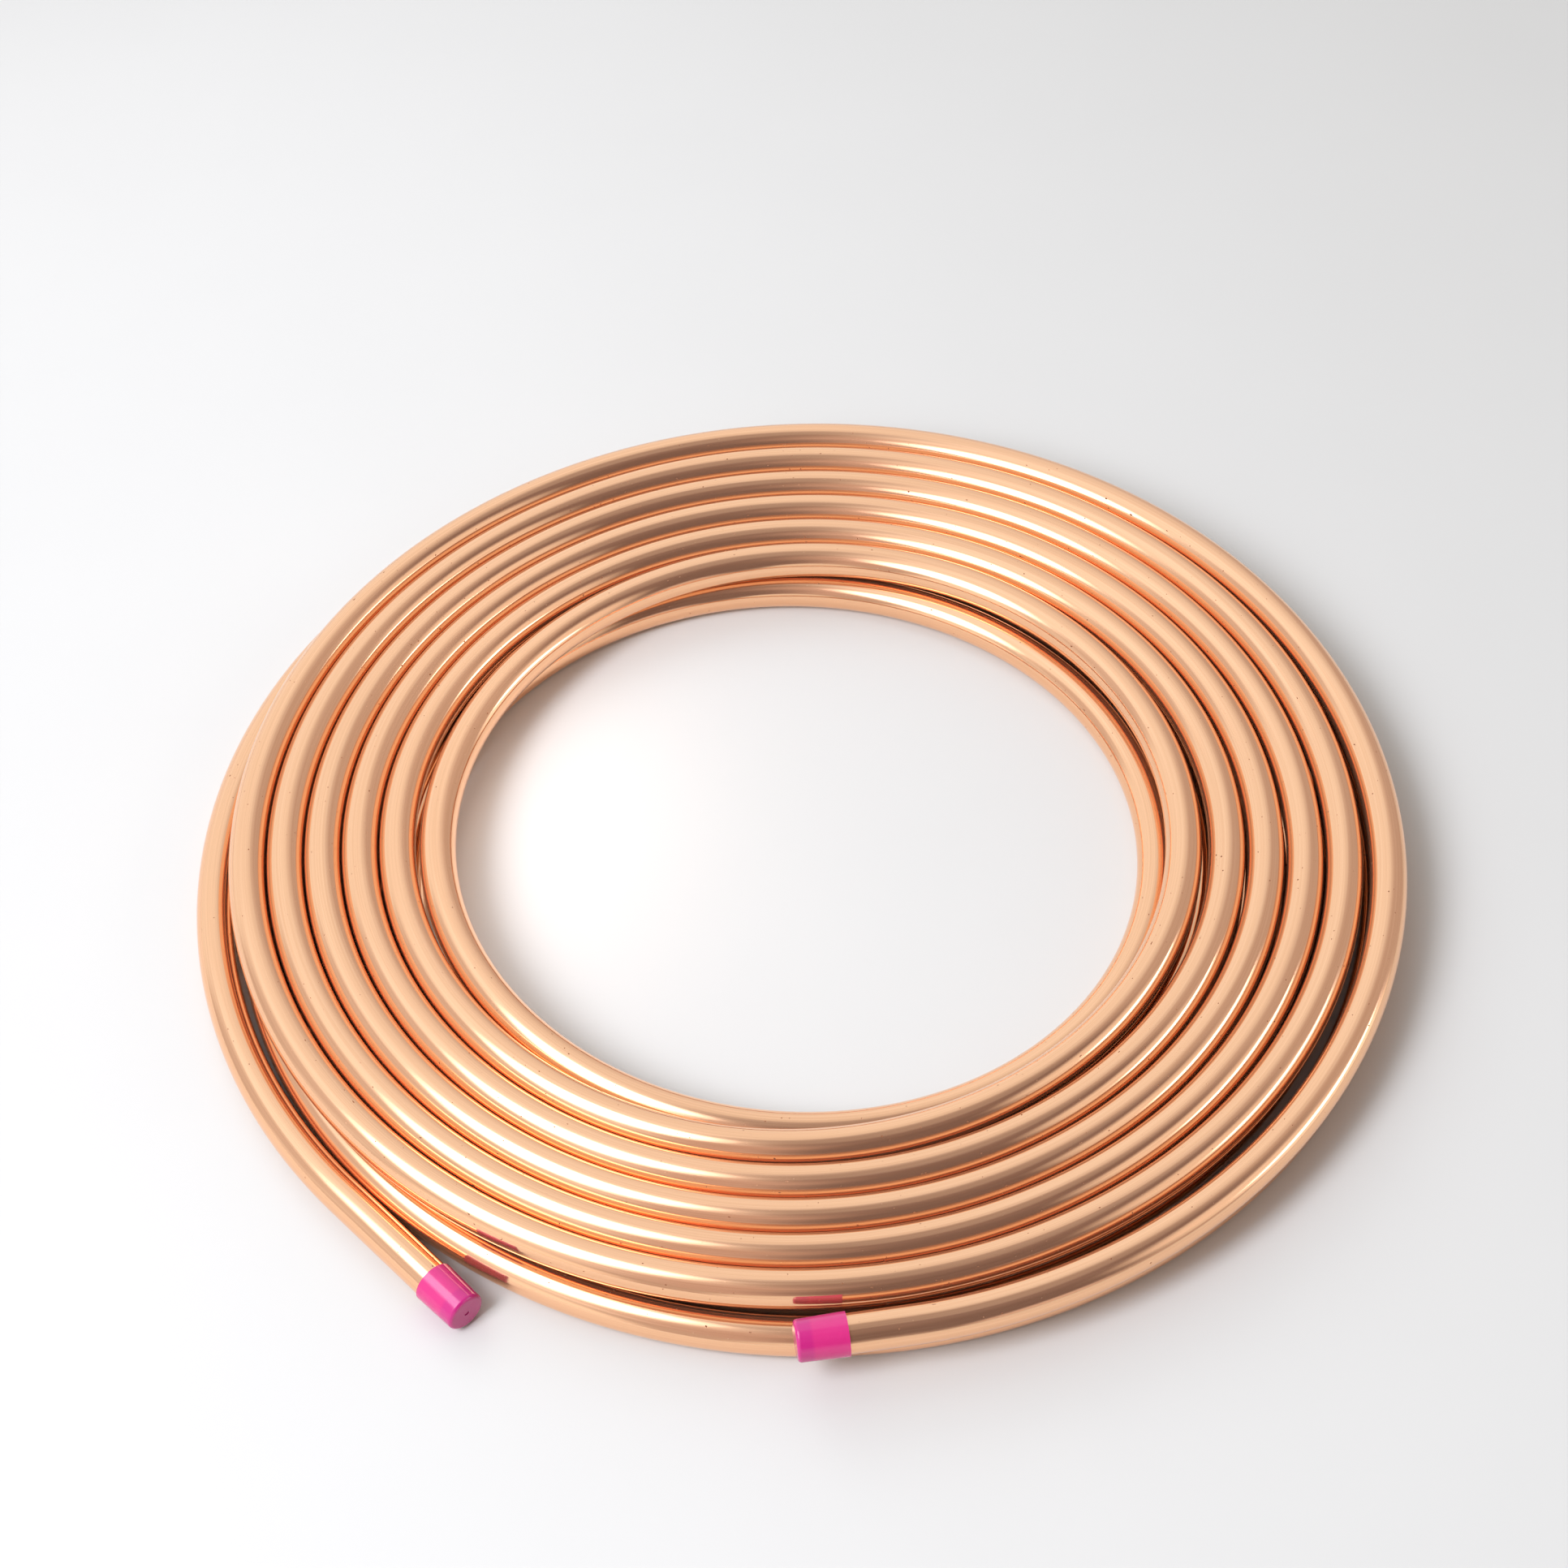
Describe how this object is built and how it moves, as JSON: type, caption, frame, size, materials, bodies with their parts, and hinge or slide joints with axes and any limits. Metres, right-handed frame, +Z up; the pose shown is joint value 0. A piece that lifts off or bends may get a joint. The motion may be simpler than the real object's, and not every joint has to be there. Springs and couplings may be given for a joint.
{
  "type": "copper tube coil",
  "caption": "Pancake coil of soft copper tube wound in two flat layers round an open centre, each tube end closed by a pink plastic push-on cap.",
  "frame": {"origin": "centre of the open middle of the coil, on the plane the coil lies on", "axes": "+Z up, along the coil's axis; the tube ends face -Y, the floor-level end on the -X side; the climb between the layers runs from +X through -Y to -X"},
  "size_m": [0.524, 0.5253, 0.0329],
  "materials": {
    "copper": "bright drawn",
    "cap_plastic": "translucent gloss"
  },
  "bodies": {
    "root": {"copper_tube": "copper", "floor_end_cap": "cap_plastic", "upper_end_cap": "cap_plastic"}
  },
  "joints": []
}
